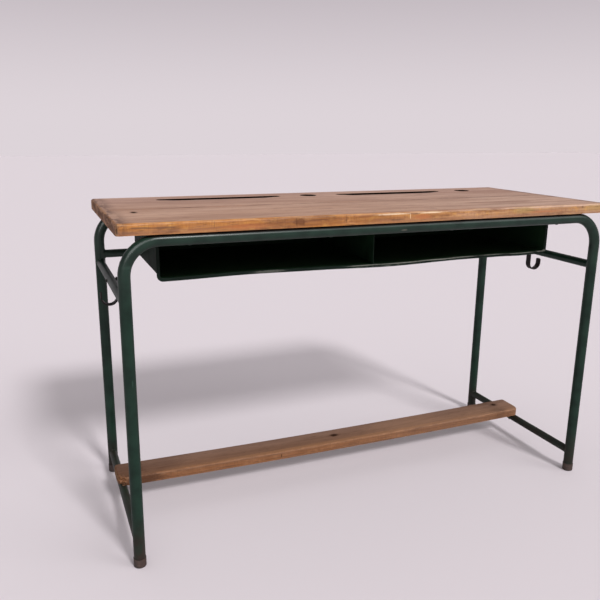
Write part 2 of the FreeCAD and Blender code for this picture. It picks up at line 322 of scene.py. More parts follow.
def makeSettledDust():
    # a thin uneven film on what faces up
    inputs = {"Place": None, "Facing": None, "Amount": 0.3}
    tree, given, made = newGroup("settledDust", inputs, ("Dust",))
    facingUp = rise(tree, parts(tree, given["Facing"])[2], *dustDetail["facingUp"])
    film = noise(tree, given["Place"], *dustDetail["film"])
    shown = times(tree, facingUp, rise(tree, film, *dustDetail["shown"]))
    feed(tree, made, {"Dust": calc(tree, "MULTIPLY", shown, given["Amount"], clamp=True)})
    return tree


spotDetail = {
    "ragged": ((150, 260, 260), (0, 0, 0), 3),
    "edge": (1.1, 0.5),       # in reaches from the centre, none and full
}


def makeSpotMark():
    # one knot, chip, dent or stain round a point, with a ragged edge
    inputs = {"Place": None, "Centre": None, "Reach": None, "Ragged": 0.8}
    tree, given, made = newGroup("spotMark", inputs, ("Spot",))
    apart = vectorCalc(tree, "SUBTRACT", given["Place"], given["Centre"])
    distance = vectorCalc(tree, "LENGTH", vectorCalc(tree, "DIVIDE", apart, given["Reach"]))
    ragged = times(tree, sway(tree, given["Place"], *spotDetail["ragged"]), given["Ragged"])
    feed(tree, made, {"Spot": rise(tree, plus(tree, distance, ragged), *spotDetail["edge"])})
    return tree


plankGrain = makePlankGrain()
arrisWear = makeArrisWear()
paintDamage = makePaintDamage()
settledDust = makeSettledDust()
spotMark = makeSpotMark()
print("shared shader effects made")


def newMaterial(name):
    material = bpy.data.materials.new(name)
    material.use_nodes = True
    tree = material.node_tree
    tree.nodes.clear()
    output = addNode(tree, "ShaderNodeOutputMaterial")
    shader = addNode(tree, "ShaderNodeBsdfPrincipled")
    tree.links.new(shader.outputs["BSDF"], output.inputs["Surface"])
    place = addNode(tree, "ShaderNodeTexCoord")
    return material, tree, shader, place.outputs["Object"], place.outputs["Normal"]


def bump(tree, height, strength, distance):
    inputs = {"Height": height, "Strength": strength, "Distance": distance}
    return addNode(tree, "ShaderNodeBump", inputs).outputs["Normal"]


def addMarks(tree, place, tone, look):
    # each mark is a centre and a reach in mm, a colour of the look and how strong it is
    for centre, reach, colourName, strength in look["marks"]:
        inputs = {"Place": place, "Centre": Vector(centre) * mm, "Reach": Vector(reach) * mm}
        spot = useGroup(tree, spotMark, inputs)["Spot"]
        tone = lay(tree, tone, look[colourName], spot, strength)
    return tone


# Painted steel

paintDetail = {
    "mottle": (0.35, 0.75),
    "scratchStrength": 0.6,
    "sheenSpread": (0.08, 0.12),
    "dustRoughness": 0.4,
    "chipRoughness": 0.6,
    "coatSpread": (1.2, 0.75),
    "coatDust": 0.6,          # as much dust as this takes all the gloss
    "brushMarks": (60, 60, 60),
    "rimDepth": 0.8,
    "bump": (0.35, 0.3 * mm),
}


def paintTone(tree, place, facing, look):
    damageInputs = {"Place": place, "Chips": look["chips"], "Scratches": look["scratches"]}
    damage = useGroup(tree, paintDamage, damageInputs)
    dustInputs = {"Place": place, "Facing": facing, "Amount": look["dustAmount"]}
    dust = useGroup(tree, settledDust, dustInputs)["Dust"]
    mottle = rise(tree, damage["Mottle"], *paintDetail["mottle"])
    tone = lay(tree, look["paint"], look["darkPaint"], mottle)
    tone = lay(tree, tone, look["fadedPaint"], damage["Scratch"], paintDetail["scratchStrength"])
    tone = lay(tree, tone, look["primer"], damage["Rim"])
    tone = lay(tree, tone, look["bareMetal"], damage["Chip"])
    tone = addMarks(tree, place, tone, look)
    return lay(tree, tone, look["dust"], dust), damage, dust


def paintFinish(tree, shader, place, tone, damage, dust, look):
    detail = paintDetail
    sheen = uneven(tree, damage["Mottle"], look["roughness"], *detail["sheenSpread"])
    sheen = plus(tree, sheen, times(tree, dust, detail["dustRoughness"]))
    chipSheen = times(tree, damage["Chip"], detail["chipRoughness"])
    # the gloss is a coat, gone where paint has chipped and dulled by dust and handling
    glossy, dull = (look["coat"] * share for share in detail["coatSpread"])
    coat = between(tree, damage["Mottle"], glossy, dull)
    unchipped = rise(tree, damage["Chip"], 1.0, 0.0)
    coat = times(tree, coat, unchipped, rise(tree, dust, detail["coatDust"], 0.0))
    if "legGloss" in look:
        onRails = rise(tree, parts(tree, place)[2], *look["legTop"])
        coat = times(tree, coat, between(tree, onRails, look["legGloss"], 1.0))
    brushMarks = noise(tree, place, detail["brushMarks"])
    height = minus(tree, brushMarks, times(tree, damage["Rim"], detail["rimDepth"]))
    feed(tree, shader, {
        "Base Color": tone,
        "Roughness": larger(tree, sheen, chipSheen),
        "Specular IOR Level": 0.0,
        "Coat Weight": coat,
        "Coat Roughness": look["coatRoughness"],
        "Normal": bump(tree, height, *detail["bump"]),
    })


frameLook = {
    "paint": colour(22, 45, 35),
    "darkPaint": colour(15, 32, 25),
    "fadedPaint": colour(40, 62, 53),
    "primer": colour(88, 86, 78),
    "bareMetal": colour(54, 47, 42),
    "rust": colour(44, 34, 29),
    # this near black is the painted shade laid on the rail tops under the boards
    "grime": colour(12, 9, 7),
    "dust": colour(110, 107, 100),
    "chips": 0.55,
    "scratches": 0.45,
    "dustAmount": 0.04,
    "roughness": 0.45,
    "coat": 0.6,
    "coatRoughness": 0.29,
    "legGloss": 0.65,         # share of the gloss that shoes and hands have left on the legs
    "legTop": (540 * mm, 650 * mm),
    "rustHeight": (140 * mm, 15 * mm),  # rust and floor dirt creep up the legs
    "rustPattern": ((45, 45, 45), (6, 1, 5), 5, 0.65),
    "rustLimits": (0.35, 0.65),
    "rustStrength": (0.45, 1.0),
    "railShadeHeight": (708.8 * mm, 711.6 * mm),  # painted shade: the tops of the rails turn near black up under the boards that lie on them
    "marks": [
        ((21, -234, 699), (9, 8, 2.6), "primer", 0.8),
        ((-584, -234, 420), (1.6, 5, 9), "fadedPaint", 0.8),
        ((-580, -233, 655), (14, 10, 4), "fadedPaint", 0.5),
    ],
}


def makeFramePaint():
    look = frameLook
    material, tree, shader, place, facing = newMaterial("framePaint")
    tone, damage, dust = paintTone(tree, place, facing, look)
    height = parts(tree, place)[2]
    rusty = rise(tree, noise(tree, place, *look["rustPattern"]), *look["rustLimits"])
    rusty = between(tree, rusty, *look["rustStrength"])
    tone = lay(tree, tone, look["rust"], rise(tree, height, *look["rustHeight"]), rusty)
    # painted shade: near black along the rail tops just under the boards
    tone = lay(tree, tone, look["grime"], rise(tree, height, *look["railShadeHeight"]))
    paintFinish(tree, shader, place, tone, damage, dust, look)
    return material


trayLook = {
    "paint": colour(22, 35, 28),
    "darkPaint": colour(15, 24, 19),
    "fadedPaint": colour(34, 46, 39),
    "primer": colour(84, 82, 76),
    "bareMetal": colour(54, 48, 42),
    # painted light: the inward faces behind the lip get this lighter, greener copy of the paint, in place
    # of light that falls in through the mouth
    "inside": colour(27, 47, 31),
    "wornLipAndHighlight": colour(128, 128, 120),
    "dust": colour(96, 92, 86),
    "chips": 0.45,
    "scratches": 0.5,
    "dustAmount": 0.03,
    "roughness": 0.55,
    "coat": 0.16,
    "coatRoughness": 0.4,
    "insideFacing": (0.0, 0.2),
    "behindLip": (-136.6 * mm, -135.6 * mm),
    "atMouth": (-136.6 * mm, -137.1 * mm),
    "lowest": (602.5 * mm, 600 * mm),  # down here the turned lip is pale, worn paint with a painted highlight
    "rubbedAndHighlitPattern": ((35, 35, 35), (8, 8, 1), 5, 0.7),
    "rubbedAndHighlitLimits": (0.48, 0.62),
    "rubbedAndHighlitStrength": 0.3,
    # the pale line along the lip is partly rubbed paint and partly a painted highlight where the rolled
    # edge catches light
    "marks": [
        ((-262, -138, 606.5), (46, 5, 3.2), "wornLipAndHighlight", 0.4),
        ((-20, -138, 604.2), (60, 3, 1.5), "wornLipAndHighlight", 0.8),
        ((70, -138, 603.8), (70, 3, 1.5), "wornLipAndHighlight", 0.9),
        ((170, -138, 605.4), (70, 3, 1.5), "wornLipAndHighlight", 0.9),
        ((250, -138, 607), (50, 3, 1.5), "wornLipAndHighlight", 0.6),
        ((340, -138, 607.7), (45, 3, 1.5), "wornLipAndHighlight", 0.55),
        ((430, -138, 606.4), (50, 3, 1.5), "wornLipAndHighlight", 0.6),
        ((492, -138, 609), (20, 3, 4), "wornLipAndHighlight", 0.6),
    ],
}


def makeTrayPaint():
    look = trayLook
    material, tree, shader, place, facing = newMaterial("trayPaint")
    tone, damage, dust = paintTone(tree, place, facing, look)
    along, across, up = parts(tree, place)
    facingParts = parts(tree, facing)
    towardsMiddle = times(tree, facingParts[0], calc(tree, "SIGN", along), -1.0)
    inwards = rise(tree, larger(tree, facingParts[2], towardsMiddle), *look["insideFacing"])
    behindLip = rise(tree, across, *look["behindLip"])
    # painted light: inward faces behind the lip take the lighter inside copy of the paint
    tone = lay(tree, tone, look["inside"], inwards, behindLip)
    # worn paint and painted highlight along the lowest edge of the mouth
    rubbed = rise(tree, noise(tree, place, *look["rubbedAndHighlitPattern"]), *look["rubbedAndHighlitLimits"])
    lowest = rise(tree, up, *look["lowest"])
    atMouth = rise(tree, across, *look["atMouth"])
    tone = lay(tree, tone, look["wornLipAndHighlight"], lowest, rubbed, atMouth, look["rubbedAndHighlitStrength"])
    paintFinish(tree, shader, place, tone, damage, dust, look)
    return material


# painted light: the divider and back panel, inside the tray, get a lighter, greener copy of the tray
# paint
insideLook = dict(trayLook)
insideLook.update({
    "paint": colour(27, 48, 33),
    "darkPaint": colour(19, 34, 23),
    "edge": (-133.4 * mm, -133.8 * mm),  # the divider's front edge is rubbed by books
    "edgeStrength": 0.7,
    "marks": [],
})


def makeTrayInsidePaint():
    look = insideLook
    material, tree, shader, place, facing = newMaterial("trayInsidePaint")
    tone, damage, dust = paintTone(tree, place, facing, look)
    front = rise(tree, parts(tree, place)[1], *look["edge"])
    tone = lay(tree, tone, look["fadedPaint"], front, look["edgeStrength"])
    paintFinish(tree, shader, place, tone, damage, dust, look)
    return material


# Old softwood boards

woodPatterns = {
    "brightPatches": ((55, 110, 110), (6, 2, 2), 4, 0.6),
    "sawMarks": ((420, 50, 40), (3, 5, 5), 3, 0.6),
    "weathering": ((6, 60, 60), (7, 4, 2), 5, 0.7),
    "bands": ((3, 24, 24), (2, 8, 5), 3, 0.55),
    "soakedDirt": ((18, 70, 70), (4, 9, 3), 4, 0.65),
    "handDirt": ((60, 16, 60), (3, 6, 1), 4, 0.65),
    "openJoint": ((9, 30, 30), (8, 2, 2), 4, 0.6),
    "scuffs": ((30, 500, 500), (1, 1, 6), 2, 0.5, (0, 0, 0.5)),
}
woodLimits = {
    "brightPatches": (0.5, 0.68),
    "sawMarks": (0.45, 0.75),
    "streaks": (0.5, 0.72),
    "darkened": (0.45, 0.7),
    "bleached": (0.5, 0.3),
    "darkBands": (0.5, 0.66),
    "paleBands": (0.5, 0.36),
    "soakedDirt": (0.5, 0.75),
    "blotches": (0.5, 0.8),
    "handDirt": (0.42, 0.56),
    "openJoint": (0.36, 0.56),
    "scuffSheen": (0.6, 0.7),
    "scuffWax": (0.55, 0.7),
    "scuffDepth": (0.62, 0.7),
    "awayFromEnd": (0.5, 0.1),
    "waxed": (0.015, 0.09),       # by how light the wood is
    "endOn": (0.55, 0.85),        # by how far a face looks along, and the rest by how far it looks up
    "fromBelow": (-0.3, -0.7),
    "notFromBelow": (-0.6, -0.3),
    "pocketWall": (0.97, 0.88),
    "pocketFloor": (0.7, 0.97),
}
woodDetail = {
    "edgeFrom": (0.985, 0.85),    # a face turned this far is an edge, at the sharp and at the pale end
    "edgeFull": (0.85, 0.5),
    "arrisBreadth": 0.25,
    "sharpArris": 0.4,            # share of the arris wear at the sharp end
    "edgeRings": 0.8,
    "brightPatches": 0.6,
    "sawMarks": 0.45,
    "bleached": 0.6,
    "handDirt": (0.85, 0.65),     # on faces and on edges
    "fibre": 0.4,
    "pores": 0.5,
    "sheenSpread": (0.1, 0.14),
    "scuffSheen": 0.12,
    "endWax": 0.25,
    "scuffWax": 0.6,
    "ringDepth": 0.7,
    "scuffDepth": 0.6,
    "bump": (0.4, 0.4 * mm),
}


def agedWood(name, look):
    detail = woodDetail
    material, tree, shader, place, facing = newMaterial(name)

    def pattern(kind):
        return noise(tree, place, *woodPatterns[kind])

    def shown(value, kind):
        return rise(tree, value, *woodLimits[kind])

    def cover(tone, colourName, *shares):
        return lay(tree, tone, look[colourName], *shares)

    grain = useGroup(tree, plankGrain, {"Place": place, **look["grain"]})
    arrisInputs = {"Breadth": detail["arrisBreadth"], "Breaks": look["breaks"]}
    arris = useGroup(tree, arrisWear, {"Place": place, "Facing": facing, **arrisInputs})
    along, across, up = parts(tree, place)
    facingParts = parts(tree, facing)
    upFacing = facingParts[2]
    pale = rise(tree, along, *look["pale"])
    edgeFrom = between(tree, pale, *detail["edgeFrom"])
    edgeFull = between(tree, pale, *detail["edgeFull"])
    sideOn = rise(tree, absolute(tree, upFacing), edgeFrom, edgeFull)
    endOn = shown(absolute(tree, facingParts[0]), "endOn")
    face = cover(look["faceEarly"], "facePale", pale)
    face = cover(face, "faceFar", rise(tree, across, *look["far"]))
    face = cover(face, "faceLate", grain["Rings"], look["rings"])
    edge = cover(look["edgeEarly"], "edgePale", pale)
    edge = cover(edge, "edgeLate", grain["Rings"], detail["edgeRings"])
    brightPatches = shown(pattern("brightPatches"), "brightPatches")
    edge = cover(edge, "edgeBright", brightPatches, detail["brightPatches"])
    sawMarks = shown(pattern("sawMarks"), "sawMarks")
    edge = cover(edge, "edgeLate", sawMarks, detail["sawMarks"])
    # the pale half of the edge is rounded off and looks like the face
    edge = lay(tree, edge, face, rise(tree, up, *look["rounded"]), pale)
    end = cover(look["endEarly"], "endLate", grain["Rings"])
    tone = lay(tree, face, edge, sideOn)
    tone = lay(tree, tone, end, endOn)
    # faces that look down take a darker colour: bare wood and painted shade
    tone = cover(tone, "rawAndShaded", shown(upFacing, "fromBelow"))
    # streaks and bands, soaked-in dirt, dirt from hands, fibres and pores
    tone = cover(tone, "faceLate", shown(grain["Streak"], "streaks"), look["streaks"])
    weathering = pattern("weathering")
    tone = cover(tone, "faceLate", shown(weathering, "darkened"), look["weathered"])
    bleached = shown(weathering, "bleached")
    tone = cover(tone, "bleached", bleached, look["weathered"], detail["bleached"])
    bands = pattern("bands")
    onFace = minus(tree, 1.0, sideOn)
    tone = cover(tone, "faceLate", shown(bands, "darkBands"), look["bands"], onFace)
    tone = cover(tone, "bleached", shown(bands, "paleBands"), look["bands"], onFace)
    dirtHere = between(tree, sideOn, look["faceDirt"], look["edgeDirt"])
    tone = cover(tone, "dirt", shown(pattern("soakedDirt"), "soakedDirt"), dirtHere)
    tone = cover(tone, "dirt", shown(grain["Blotch"], "blotches"), look["blotches"])
    nearEnd = rise(tree, absolute(tree, along), *look["handled"])
    handDirt = shown(pattern("handDirt"), "handDirt")
    tone = cover(tone, "stain", nearEnd, handDirt, between(tree, sideOn, *detail["handDirt"]))
    fibre = times(tree, grain["Fibre"], detail["fibre"])
    tone = mixColour(tree, fibre, tone, look["faceLate"], "MULTIPLY")
    tone = cover(tone, "grime", grain["Pores"], detail["pores"])
    tone = cover(tone, "stain", grain["Checks"], look["checks"])
    # rubbed arrises, then knots, stains and cracks
    arrisStrength = look["arrisStrength"]
    rubbing = between(tree, pale, arrisStrength * detail["sharpArris"], arrisStrength)
    tone = cover(tone, "worn", arris["Worn"], rubbing)
    tone = addMarks(tree, place, tone, look)
    # dirt in the joint between the boards; dirt and painted shade in the pen grooves and the inkwell
    # holes
    if "joint" in look:
        besideJoint = absolute(tree, minus(tree, across, look["joint"]))
        seam = rise(tree, besideJoint, *look["jointReach"])
        openJoint = shown(pattern("openJoint"), "openJoint")
        tone = cover(tone, "pit", seam, openJoint, look["jointStrength"])
    if "pocketLine" in look:
        besideLine = absolute(tree, minus(tree, across, look["pocketLine"]))
        beside = rise(tree, besideLine, *look["pocketReach"])
        sunk = rise(tree, up, *look["sunk"])
        sunk = larger(tree, sunk, shown(upFacing, "pocketWall"))
        handWorn = rise(tree, up, *look["handWorn"])
        handWorn = times(tree, handWorn, rise(tree, besideLine, *look["grooveReach"]))
        sunk = larger(tree, sunk, handWorn)
        notOutside = times(tree, shown(nearEnd, "awayFromEnd"), shown(upFacing, "notFromBelow"))
        deep = rise(tree, up, *look["deep"])
        onFloor = shown(upFacing, "pocketFloor")
        pitTone = cover(look["pit"], "pitFloor", deep, onFloor, grain["Fibre"])
        tone = lay(tree, tone, pitTone, beside, sunk, notOutside)
    scuffs = pattern("scuffs")
    sheen = uneven(tree, grain["Fibre"], look["roughness"], *detail["sheenSpread"])
    sheen = plus(tree, sheen, times(tree, shown(scuffs, "scuffSheen"), detail["scuffSheen"]))
    # the wax has gone from pits, dirt, scuffs and ends
    lightness = addNode(tree, "ShaderNodeRGBToBW", {"Color": tone}).outputs[0]
    wax = times(tree, shown(lightness, "waxed"), between(tree, endOn, 1.0, detail["endWax"]))
    scuffWax = between(tree, shown(scuffs, "scuffWax"), look["wax"], look["wax"] * detail["scuffWax"])
    height = minus(tree, grain["Fibre"], times(tree, grain["Rings"], detail["ringDepth"]))
    height = minus(tree, height, grain["Pores"])
    height = minus(tree, height, times(tree, shown(scuffs, "scuffDepth"), detail["scuffDepth"]))
    feed(tree, shader, {
        "Base Color": tone,
        "Roughness": sheen,
        "Specular IOR Level": 0.0,
        "Coat Weight": times(tree, wax, scuffWax),
        "Coat Roughness": look["waxRoughness"],
        "Normal": bump(tree, height, *detail["bump"]),
    })
    return material


frontBoardLook = {
    "grain": {
        "Pith Across": -130 * mm, "Pith Up": 640 * mm,
        "Slant": 0.02, "Ring Width": 5.5 * mm, "Waver": 0.014,
    },
    "breaks": 18.0,
    "faceEarly": colour(191, 152, 127),
    "facePale": colour(205, 171, 150),
    "faceFar": colour(184, 148, 131),
    "faceLate": colour(150, 110, 87),
    "edgeEarly": colour(194, 129, 58),
    "edgeBright": colour(214, 157, 78),
    "edgePale": colour(192, 150, 108),
    "edgeLate": colour(142, 84, 40),
    "endEarly": colour(186, 145, 117),
    "endLate": colour(110, 80, 61),
    # the underside colour: darker bare wood, partly painted shade
    "rawAndShaded": colour(140, 112, 88),
    "worn": colour(226, 190, 148),
    "cream": colour(240, 214, 178),
    "dirt": colour(104, 62, 36),
    "grime": colour(34, 22, 17),
    # near black for open joints, and for the dirt and painted shade in the grooves and holes
    "pit": colour(17, 11, 9),
    "stain": colour(92, 62, 46),
    "brown": colour(106, 62, 28),
    "red": colour(168, 96, 56),
    "olive": colour(176, 150, 88),
    "far": (-110 * mm, 200 * mm),       # towards the rear the face turns greyer
    "handled": (566 * mm, 598 * mm),    # hands have left dirt on the ends
    "rings": 0.6,
    "bands": 0.4,             # broad darker and paler bands along the grain
    "checks": 0.65,
    "weathered": 0.5,
    "bleached": colour(206, 170, 148),
    "pale": (-150 * mm, 420 * mm),      # towards the right the wood is paler and its arrises softer
    "rounded": (734 * mm, 736.5 * mm),  # up here the pale half of the front edge is rounded off
    "streaks": 0.5,
    "blotches": 0.2,
    "faceDirt": 0.14,
    "edgeDirt": 0.6,
    "arrisStrength": 0.45,
    "roughness": 0.6,
    "wax": 0.66,
    "waxRoughness": 0.46,
    "joint": -18 * mm,
    "jointReach": (4 * mm, 1.5 * mm),
    "jointStrength": 0.9,
    "marks": [
        ((-541, -70, 740), (10, 18, 40), "stain", 0.85),
        ((-541, -70, 740), (6, 11, 40), "grime", 0.95),
        ((-228, -98, 740), (14, 4, 3), "stain", 0.4),
        ((-160, -98, 740), (10, 4, 3), "stain", 0.35),
        ((-456, -184, 740), (9, 4, 3), "stain", 0.5),
        ((-590, -120, 740), (30, 200, 6), "stain", 0.2),
        ((-601, -110, 728), (4, 170, 10), "grime", 0.3),
        ((-597.5, -236, 728), (1.8, 6, 15), "grime", 0.75),
        ((-410, -235, 731), (1.0, 3, 9), "grime", 0.4),
        ((-340, -235, 724), (60, 4, 6), "red", 0.45),
        ((-228, -235, 728), (17, 4, 9), "brown", 0.85),
        ((-236, -235, 728), (2.0, 3, 10), "grime", 0.4),
        ((-220, -235, 726), (1.6, 3, 8), "grime", 0.35),
        ((-215, -235, 729), (125, 4, 14), "dirt", 0.5),
        ((-60, -235, 728), (70, 4, 10), "dirt", 0.35),
        ((66, -235, 727), (28, 4, 7), "red", 0.55),
        ((400, -235, 726), (80, 4, 2.5), "red", 0.5),
        ((-122, -235, 729), (1.0, 3, 10), "grime", 0.5),
        ((-10, -235, 735.2), (48, 3.5, 2), "cream", 0.6),
        ((86, -235, 735.4), (36, 3.5, 1.8), "cream", 0.65),
        ((34, -235, 730), (1.2, 3, 8), "cream", 0.5),
        ((20, -235, 729), (0.9, 3, 9), "grime", 0.4),
        ((344, -235, 731), (40, 4, 9), "olive", 0.35),
        ((560, -235, 730), (40, 4, 9), "olive", 0.3),
        ((524, -235, 733), (4, 4, 3), "grime", 0.45),
    ],
}

rearBoardLook = dict(frontBoardLook)
rearBoardLook.update({
    "grain": {
        "Pith Across": 150 * mm, "Pith Up": 860 * mm,
        "Slant": -0.03, "Ring Width": 4.6 * mm, "Waver": 0.016,
    },
    "pocketLine": 160 * mm,             # the grooves and holes lie along this line
    "pocketReach": (24 * mm, 21.6 * mm),
    "grooveReach": (24 * mm, 13 * mm),
    "sunk": (738.2 * mm, 737.4 * mm),   # their walls are black down here, dirt and painted shade
    "handWorn": (739.7 * mm, 738.7 * mm),  # and so are their worn near sides
    "pitFloor": colour(104, 74, 57),
    "deep": (734 * mm, 731 * mm),       # their floors are bare dirty wood
    "marks": [
        ((-330, 60, 740), (12, 5, 3), "stain", 0.4),
        ((260, 95, 740), (16, 6, 3), "stain", 0.35),
        ((-590, 120, 740), (30, 200, 6), "stain", 0.25),
        ((-601, 110, 728), (4, 170, 10), "grime", 0.3),
        # black along the groove lines, dirt and painted shade
        ((-290, 160, 740), (172, 16, 3), "pit", 0.95),
        ((200, 160, 740), (172, 16, 3), "pit", 0.95),
    ],
})

footrestLook = {key: value for key, value in frontBoardLook.items() if not key.startswith("joint")}
footrestLook.update({
    "grain": {
        "Pith Across": 70 * mm, "Pith Up": -10 * mm,
        "Slant": -0.015, "Ring Width": 5.0 * mm, "Waver": 0.012,
    },
    "breaks": 26.0,
    "faceEarly": colour(134, 95, 70),
    "facePale": colour(151, 113, 88),
    "faceFar": colour(137, 105, 88),
    "faceLate": colour(108, 76, 56),
    "edgeEarly": colour(145, 97, 61),
    "edgeBright": colour(160, 114, 78),
    "edgePale": colour(145, 104, 76),
    "edgeLate": colour(104, 67, 43),
    "far": (10 * mm, 75 * mm),
    "handled": (600 * mm, 613 * mm),
    "rings": 0.4,
    "bands": 0.15,
    "weathered": 0.35,
    "bleached": colour(152, 116, 94),
    "endEarly": colour(150, 116, 88),
    "endLate": colour(96, 66, 46),
    "rawAndShaded": colour(110, 82, 62),
    "worn": colour(168, 122, 88),
    "dirt": colour(70, 46, 34),
    "rounded": (120 * mm, 121 * mm),    # above the footrest, so nowhere on it
    "streaks": 0.35,
    "blotches": 0.12,
    "faceDirt": 0.25,
    "edgeDirt": 0.4,
    "arrisStrength": 0.55,
    "roughness": 0.66,
    "wax": 0.45,
    "waxRoughness": 0.55,
    "marks": [
        ((-6, 47, 82), (22, 13, 40), "stain", 0.6),
        ((-6, 47, 82), (13, 8, 40), "grime", 0.85),
        ((542, 56, 88), (18, 12, 40), "stain", 0.6),
        ((542, 56, 88), (9, 8, 40), "grime", 0.85),
        ((0, 14, 86), (560, 9, 12), "edgeBright", 0.4),
        ((-545, 6, 74), (80, 8, 16), "dirt", 0.75),
        ((-500, 50, 88), (80, 50, 6), "dirt", 0.3),
        ((-580, 45, 88), (60, 60, 6), "dirt", 0.5),
        ((210, 50, 86), (150, 50, 8), "facePale", 0.35),
        ((310, 6, 78), (170, 6, 16), "dirt", 0.16),
        ((-178, 6, 72), (1.5, 4, 6), "grime", 0.8),
        ((-596, 8, 80), (22, 14, 12), "edgeEarly", 0.6),
        ((-600, 5, 85), (14, 3, 1.8), "cream", 0.6),
        ((-598, 4, 77), (16, 4, 1.5), "cream", 0.5),
        ((-602, 16, 87), (10, 2.5, 4), "grime", 0.6),
        ((-600, 4, 81), (14, 4, 1.4), "grime", 0.7),
        ((-604, 4, 72), (10, 5, 2), "grime", 0.6),
    ],
})


# Hooks, foot caps and fasteners

ironLook = {
    "iron": colour(30, 24, 24),
    "darkIron": colour(17, 14, 14),
    "scale": ((120, 120, 120), (0, 0, 0), 5, 0.65),
    "scaleLimits": (0.35, 0.65),
    "rust": colour(52, 35, 29),
    "rustPattern": ((70, 70, 70), (3, 3, 9), 5, 0.7),
    "rustLimits": (0.52, 0.68),
    "rustStrength": 0.7,
    "bright": colour(76, 70, 67),
    "brightStrength": 0.6,
    "arris": {"Breadth": 0.2, "Breaks": 120.0},
    "roughness": 0.55,
    "sheenSpread": (0.1, 0.2),
    "gloss": 0.35,
    "glossSpread": (1.4, 0.6),
    "coatRoughness": 0.45,
    "bump": (0.5, 0.3 * mm),
}


def makeHookIron():
    look = ironLook
    material, tree, shader, place, facing = newMaterial("hookIron")
    arris = useGroup(tree, arrisWear, {"Place": place, "Facing": facing, **look["arris"]})
    scale = noise(tree, place, *look["scale"])
    tone = lay(tree, look["iron"], look["darkIron"], rise(tree, scale, *look["scaleLimits"]))
    rusty = rise(tree, noise(tree, place, *look["rustPattern"]), *look["rustLimits"])
    tone = lay(tree, tone, look["rust"], rusty, look["rustStrength"])
    rubbed = times(tree, arris["Worn"], look["brightStrength"])
    glossy, dull = (look["gloss"] * share for share in look["glossSpread"])
    feed(tree, shader, {
        "Base Color": lay(tree, tone, look["bright"], rubbed),
        "Roughness": uneven(tree, scale, look["roughness"], *look["sheenSpread"]),
        "Metallic": rubbed,
        "Coat Weight": between(tree, scale, glossy, dull),
        "Coat Roughness": look["coatRoughness"],
        "Specular IOR Level": 0.0,
        "Normal": bump(tree, scale, *look["bump"]),
    })
    return material


rubberLook = {
    "rubber": colour(60, 40, 32),
    "darkRubber": colour(39, 26, 21),
    "mottle": ((90, 90, 90), (0, 0, 0), 5, 0.6),
    "mottleLimits": (0.35, 0.7),
    "scuff": colour(104, 84, 72),
    "scuffPattern": ((160, 160, 700), (2, 4, 8), 2),
    "scuffLimits": (0.6, 0.72),
    "scuffStrength": 0.45,
    "floorDirt": colour(36, 28, 25),
    "dirtFrom": 7 * mm,
    "dirtStrength": 0.7,
    "roughness": 0.72,
    "sheenSpread": (0.1, 0.1),
    "bump": (0.5, 0.3 * mm),
}


def makeFootRubber():
    look = rubberLook
    material, tree, shader, place = newMaterial("footRubber")[:4]
    mottle = noise(tree, place, *look["mottle"])
    tone = lay(tree, look["rubber"], look["darkRubber"], rise(tree, mottle, *look["mottleLimits"]))
    scuffs = noise(tree, place, *look["scuffPattern"])
    tone = lay(tree, tone, look["scuff"], rise(tree, scuffs, *look["scuffLimits"]), look["scuffStrength"])
    nearFloor = rise(tree, parts(tree, place)[2], look["dirtFrom"], 0.0)
    feed(tree, shader, {
        "Base Color": lay(tree, tone, look["floorDirt"], nearFloor, look["dirtStrength"]),
        "Roughness": uneven(tree, mottle, look["roughness"], *look["sheenSpread"]),
        "Normal": bump(tree, plus(tree, mottle, scuffs), *look["bump"]),
    })
    return material


steelLook = {
    "steel": colour(128, 122, 113),
    "tarnish": colour(66, 58, 50),
    "tarnishPattern": ((260, 260, 260), (0, 0, 0), 5, 0.65),
    "tarnishLimits": (0.4, 0.65),
    "metalLimits": (0.75, 0.5),
    "roughness": 0.42,
    "sheenSpread": (0.15, 0.25),
    "bump": (0.3, 0.1 * mm),
}


def makeFastenerSteel():
    look = steelLook
    material, tree, shader, place = newMaterial("fastenerSteel")[:4]
    tarnish = noise(tree, place, *look["tarnishPattern"])
    tarnished = rise(tree, tarnish, *look["tarnishLimits"])
    feed(tree, shader, {
        "Base Color": lay(tree, look["steel"], look["tarnish"], tarnished),
        "Metallic": rise(tree, tarnish, *look["metalLimits"]),
        "Roughness": uneven(tree, tarnish, look["roughness"], *look["sheenSpread"]),
        "Normal": bump(tree, tarnish, *look["bump"]),
    })
    return material


framePaint = makeFramePaint()
trayPaint = makeTrayPaint()
trayInsidePaint = makeTrayInsidePaint()
frontBoardWood = agedWood("frontBoardWood", frontBoardLook)
rearBoardWood = agedWood("rearBoardWood", rearBoardLook)
footrestWood = agedWood("footrestWood", footrestLook)
hookIron = makeHookIron()
footRubber = makeFootRubber()
fastenerSteel = makeFastenerSteel()
print("materials made")


# Modelling helpers

meshDetail = {
    "touching": 0.002 * mm,   # loose triangles meet within this
    "sliver": 0.05 * mm,      # points this near a cut would leave needle-thin faces
    "leastWeight": 0.001,
}


def wear(piece, material):
    slots = piece.data.materials
    slots.clear()
    slots.append(material)


def pick(piece):
    bpy.ops.object.select_all(action="DESELECT")
    piece.select_set(True)
    bpy.context.view_layer.objects.active = piece


def copyOfNode(nodeName, pieceName):
    # own mesh from the desk's piece, with its loose triangles merged
    piece = bpy.data.objects.new(pieceName, nodes[nodeName].data.copy())
    scene.collection.objects.link(piece)
    pick(piece)
    bpy.ops.mesh.customdata_custom_splitnormals_clear()
    bpy.ops.object.mode_set(mode="EDIT")
    bpy.ops.mesh.select_all(action="SELECT")
    bpy.ops.mesh.remove_doubles(threshold=meshDetail["touching"])
    bpy.ops.object.mode_set(mode="OBJECT")
    return piece


